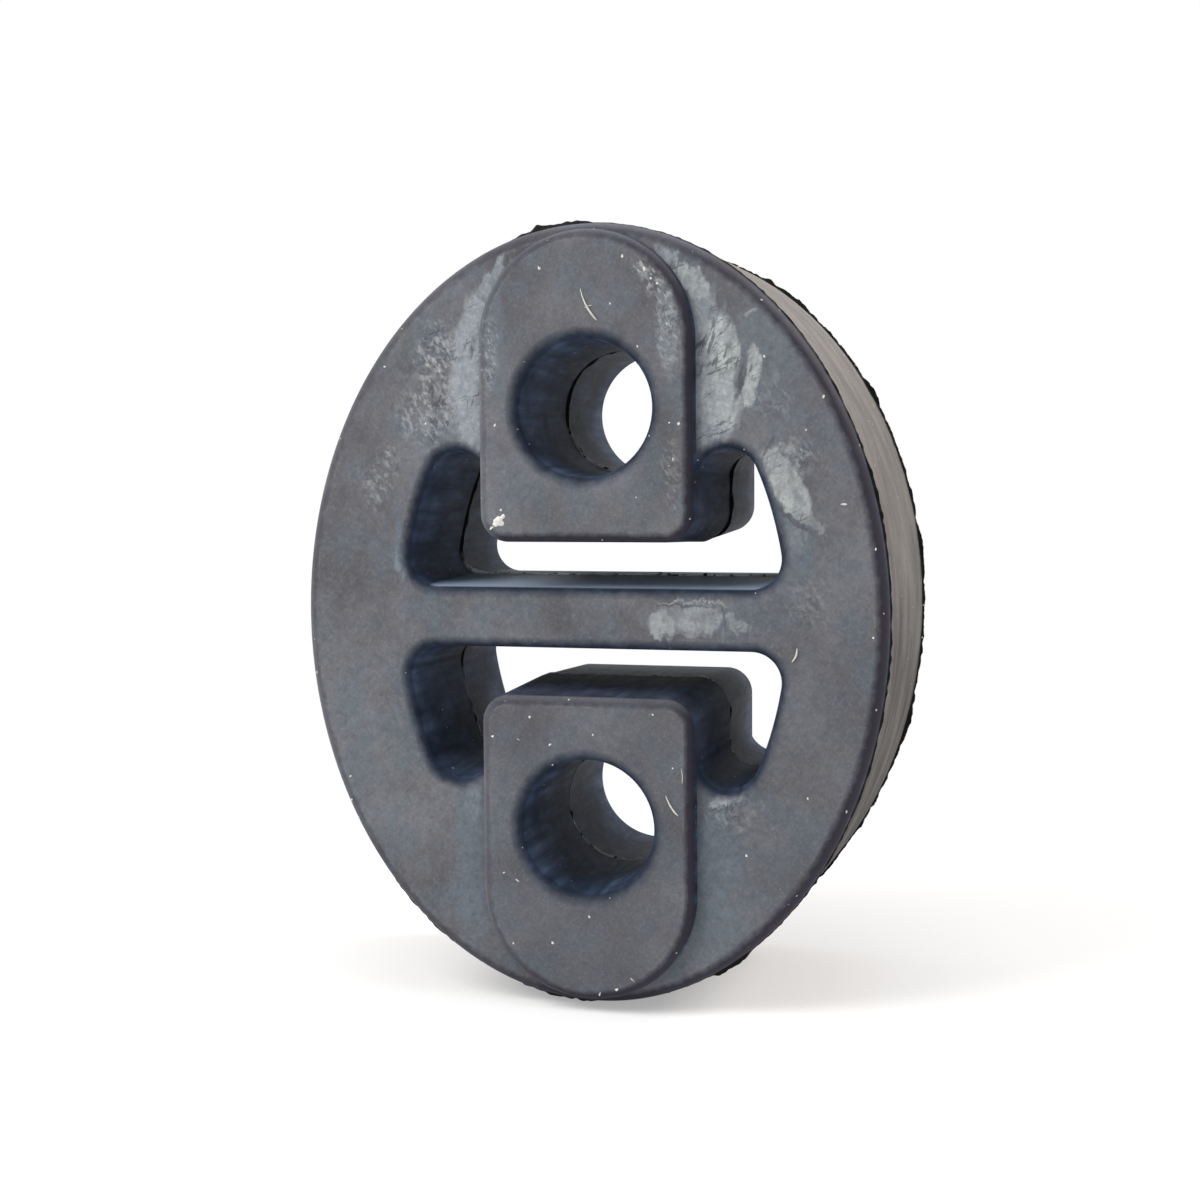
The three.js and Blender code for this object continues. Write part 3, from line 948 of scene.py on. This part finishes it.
# Lint and crumbs that lie on the front: short pale hairs, and flakes of dried mould wax
strayBits = {
    "hairSides": 8,
    "hairSteps": 16,
    "hairTip": 0.35,  # share of its width that a hair's tips have
    "tipLength": 4,  # the higher, the shorter the tips
    "crumbPoints": 26,
    "crumbRings": ((1.0, 0), (0.95, 0.06), (0.7, 0.13), (0.35, 0.17)),  # shares of its reach and breadth
    "crumbJag": (0.85, 0.75, 1.6),  # steady share, uneven share and how close the jags are
    "crumbBumps": (0.7, 2.5),  # how much the thickness varies, and how close its bumps are
    "sink": 0.02,  # how far a hair or crumb is pressed into the rubber
    # a hair: face, start and end (x, z), bow, and its width at each end, in mm
    "hairs": [
        ("boss", (-0.1, 31.1), (1.5, 28.1), -0.22, 0.10, 0.25),
        ("boss", (0.3, 29.3), (1.0, 29.5), 0.05, 0.05, 0.09),
        ("boss", (7.9, -16.4), (9.1, -18.3), -0.12, 0.11, 0.22),
        ("boss", (9.4, -13.7), (9.5, -15.2), 0.08, 0.05, 0.09),
        ("ring", (20.1, -2.4), (19.6, -3.7), 0.16, 0.22, 0.14),
    ],
    # a crumb: face, middle (x, z), size along and across (mm), and degrees that its length leans to the right
    "crumbs": [
        ("boss", -8.35, 9.45, 1.8, 1.0, 52),
        ("boss", -9.15, 8.75, 0.5, 0.3, 50),
        ("boss", -8.2, 10.45, 0.3, 0.25, 0),
        ("boss", -4.1, 33.1, 0.42, 0.3, -40),
        ("boss", 4.0, 33.9, 0.38, 0.3, 0),
        ("boss", 6.1, 32.7, 0.45, 0.32, -30),
        ("boss", 6.7, 31.8, 0.32, 0.24, 0),
        ("boss", 7.3, 31.3, 0.3, 0.25, 20),
        ("boss", 2.8, 29.6, 0.26, 0.2, 0),
        ("boss", 5.4, 25.6, 0.28, 0.22, 0),
        ("boss", -8.7, 18.5, 0.38, 0.28, 20),
        ("boss", 9.3, 18.4, 0.34, 0.28, 60),
        ("boss", 8.4, 18.5, 0.26, 0.2, 0),
        ("boss", 8.2, 27.6, 0.22, 0.18, 0),
        ("boss", 8.75, 15.1, 0.5, 0.16, 0),
        ("boss", 8.35, 14.5, 0.42, 0.13, 70),
        ("boss", 5.2, 11.6, 0.4, 0.13, -35),
        ("boss", -9.3, -11.4, 0.42, 0.24, 70),
        ("boss", -6.7, -11.6, 0.5, 0.14, -60),
        ("boss", -5.5, -9.4, 0.32, 0.26, 60),
        ("boss", -3.5, -12.0, 0.4, 0.24, 60),
        ("boss", 0.8, -10.9, 0.34, 0.2, 10),
        ("boss", 6.7, -8.8, 0.34, 0.2, -40),
        ("boss", 8.6, -13.8, 0.24, 0.2, 0),
        ("boss", -6.9, -25.4, 0.6, 0.18, -60),
        ("boss", -8.3, -24.7, 0.36, 0.18, 60),
        ("boss", 0.3, -28.5, 0.4, 0.26, -20),
        ("boss", -3.4, -31.3, 0.32, 0.28, 0),
        ("boss", -7.4, -31.6, 0.28, 0.24, 0),
        ("boss", 4.5, -34.3, 0.62, 0.16, -50),
        ("boss", 3.0, -35.4, 0.4, 0.22, 60),
        ("boss", 1.3, -36.0, 0.4, 0.16, 10),
        ("ring", 24.4, 10.9, 0.66, 0.26, 84),
        ("ring", 17.0, 24.5, 0.34, 0.28, 0),
        ("ring", 22.5, 20.7, 0.34, 0.26, 0),
        ("ring", 20.9, 17.7, 0.26, 0.2, 0),
        ("ring", 27.1, -1.3, 0.3, 0.2, 20),
        ("ring", 27.3, 6.8, 0.3, 0.22, 0),
        ("ring", 21.1, -16.4, 0.3, 0.24, 0),
        ("ring", 15.3, -22.1, 0.34, 0.26, 0),
        ("ring", -16.4, 18.8, 0.26, 0.22, 0),
        ("ring", -20.6, 24.4, 0.34, 0.22, 60),
        ("ring", -25.0, -16.2, 0.3, 0.22, 60),
        ("ring", -24.9, -18.6, 0.24, 0.2, 0),
    ],
    "hairColor": "#cfccc0",
    "hairRoughness": 0.75,
    "crumbColor": "#dcdbd5",
    "crumbRoughness": 0.6,
    "shade": "#a19f97",
}


def laidHair(mesh, face, start, end, bow, startWidth, endWidth):
    # a thin fibre, round in section, bowed sideways along the face
    start, end = Vector((start[0], 0, start[1])), Vector((end[0], 0, end[1]))
    along = (end - start).normalized()
    aside = Vector((-along.z, 0, along.x))
    outward = Vector((0, 1, 0))
    steps, sides = strayBits["hairSteps"], strayBits["hairSides"]
    turns = [2 * math.pi * side / sides for side in range(sides)]
    rings = []
    for step in range(steps + 1):
        share = step / steps
        taper = min(1, strayBits["tipLength"] * min(share, 1 - share) + strayBits["hairTip"])
        radius = (startWidth + (endWidth - startWidth) * share) / 2 * taper
        middle = start.lerp(end, share) + aside * bow * math.sin(math.pi * share)
        middle.y = faceDepth(face) - radius + strayBits["sink"]
        points = [middle + (aside * math.cos(t) + outward * math.sin(t)) * radius for t in turns]
        rings.append([mesh.verts.new(point * mm) for point in points])
    for near, far in zip(rings, rings[1:]):
        for side in range(sides):
            other = (side + 1) % sides
            mesh.faces.new((near[side], near[other], far[other], far[side]))
    mesh.faces.new(rings[0][::-1])
    mesh.faces.new(rings[-1])


def laidCrumb(mesh, face, x, z, length, breadth, lean):
    # a flat flake with a jagged outline, thickest in the middle
    count = strayBits["crumbPoints"]
    steady, uneven, jags = strayBits["crumbJag"]
    bumpHeight, bumps = strayBits["crumbBumps"]
    turn = Matrix.Rotation(math.radians(lean), 3, "Y")
    middle = Vector((x, faceDepth(face) + strayBits["sink"], z))
    rings = []
    for reach, lift in strayBits["crumbRings"]:
        ring = []
        for i in range(count):
            angle = 2 * math.pi * i / count
            way = Vector((math.cos(angle), 0, math.sin(angle)))
            jag = steady + uneven * noise.noise(way * jags + Vector((x, 0, z))) * reach
            bumpy = 1 + bumpHeight * noise.noise(way * bumps * reach + Vector((z, 4, x)))
            flat = turn @ Vector((way.x * breadth / 2, 0, way.z * length / 2)) * reach * jag
            ring.append(mesh.verts.new((middle + flat + Vector((0, -lift * breadth * bumpy, 0))) * mm))
        rings.append(ring)
    for near, far in zip(rings, rings[1:]):
        for i in range(count):
            other = (i + 1) % count
            mesh.faces.new((near[i], near[other], far[other], far[i]))
    mesh.faces.new(rings[0][::-1])
    mesh.faces.new(rings[-1])


def laidBits(name, bits, lay, color, roughness):
    # lint and wax both scatter light evenly and have hardly any gloss; the tone drifts along each bit
    mesh = bmesh.new()
    for bit in bits:
        lay(mesh, *bit)
    bmesh.ops.recalc_face_normals(mesh, faces=mesh.faces)
    data = bpy.data.meshes.new(name)
    mesh.to_mesh(data)
    mesh.free()
    data.shade_smooth()
    material, tree, inMm = newMaterial(name + "Surface")
    mottle = blotches(tree, inMm, (0.35, 0.35, 0.35), (0.3, 0.7))
    tone = layCoats(tree, color, [(strayBits["shade"], 0.6, mottle)])
    bump = addNode(tree, "Bump", {"Height": mottle, "Strength": 0.5, "Distance": 0.02 * mm})
    shader = addNode(tree, "BsdfPrincipled", {"Base Color": tone, "Normal": bump, "Roughness": roughness,
                                              "Specular IOR Level": 0.3})
    addNode(tree, "OutputMaterial", {"Surface": shader})
    data.materials.append(material)
    made = bpy.data.objects.new(name, data)
    bpy.context.scene.collection.objects.link(made)
    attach(made, "root")


laidBits("lint_hairs", strayBits["hairs"], laidHair, strayBits["hairColor"], strayBits["hairRoughness"])
laidBits("wax_crumbs", strayBits["crumbs"], laidCrumb, strayBits["crumbColor"], strayBits["crumbRoughness"])
print("lint and crumbs laid on")


# Floor, backdrop and lamps
studio = {
    "floor": "#fafafa",
    "floorSize": 1.2,
    "floorGlow": 0.35,  # share of plain white that the camera sees in the floor near the part
    "fade": (0.03, 0.10),  # m from the part, between which the floor fades to white
    "worldStrength": 0.42,
}
lamps = {
    # name: place (m), size (m), watts, colour
    "key": ((-0.17, -0.16, 0.21), 0.2, 1.0, "#fffdfa"),
    "fill": ((0.30, -0.55, 0.10), 0.45, 0.15, "#f6f8ff"),
    "rim": ((0.42, 0.20, 0.36), 0.25, 2.3, "#fff6ee"),
    "top": ((0.02, -0.05, 0.55), 0.35, 0.8, "#f0f6ff"),
}


def seenDirectly(tree):
    # 1 where a ray comes from the camera, or by way of gloss or glass
    path = addNode(tree, "LightPath").node
    seen = 0
    for ray in ("Is Camera Ray", "Is Glossy Ray", "Is Transmission Ray"):
        seen = addNode(tree, "Math", {0: path.outputs[ray], 1: seen}, operation="MAXIMUM")
    return seen


def makeFloor(settings, lowest):
    material = bpy.data.materials.new("paleFloor")
    material.use_nodes = True
    tree = material.node_tree
    tree.nodes.clear()
    place = addNode(tree, "TexCoord", output="Object")
    distance = addNode(tree, "VectorMath", {0: place}, "Value", operation="LENGTH")
    near, far = settings["fade"]
    fade = addNode(tree, "MapRange", {"Value": distance, "From Min": near, "From Max": far,
                                      "To Min": settings["floorGlow"]}, interpolation_type="SMOOTHSTEP")
    share = addNode(tree, "Math", {0: fade, 1: seenDirectly(tree)}, operation="MULTIPLY")
    matte = addNode(tree, "BsdfDiffuse", {"Color": settings["floor"]})
    white = addNode(tree, "Emission", {"Color": "#ffffff", "Strength": 1})
    addNode(tree, "OutputMaterial", {"Surface": addNode(tree, "MixShader", {0: share, 1: matte, 2: white})})
    mesh = bpy.data.meshes.new("floor")
    half = settings["floorSize"]
    corners = [(-half, -half, 0), (half, -half, 0), (half, half, 0), (-half, half, 0)]
    mesh.from_pydata(corners, [], [(0, 1, 2, 3)])
    mesh.materials.append(material)
    floor = bpy.data.objects.new("floor", mesh)
    floor.location.z = lowest
    bpy.context.scene.collection.objects.link(floor)
    floor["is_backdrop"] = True


def makeWorld(settings):
    world = bpy.data.worlds.new("paleRoom")
    world.use_nodes = True
    tree = world.node_tree
    tree.nodes.clear()
    strength = addNode(tree, "MapRange", {"Value": seenDirectly(tree), "To Min": settings["worldStrength"]})
    background = addNode(tree, "Background", {"Color": "#ffffff", "Strength": strength})
    addNode(tree, "OutputWorld", {"Surface": background})
    bpy.context.scene.world = world


def makeLamp(name, place, size, watts, color):
    data = bpy.data.lights.new(name, "AREA")
    data.size = size
    data.energy = watts
    data.color = fromHex(color)[:3]
    lamp = bpy.data.objects.new(name, data)
    lamp.location = place
    lamp.rotation_euler = (-Vector(place)).to_track_quat("-Z", "Y").to_euler()
    bpy.context.scene.collection.objects.link(lamp)


makeFloor(studio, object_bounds()[0].z)
makeWorld(studio)
for lampName, values in lamps.items():
    makeLamp(lampName, *values)
bpy.context.scene.view_settings.view_transform = "Standard"
print("studio ready")
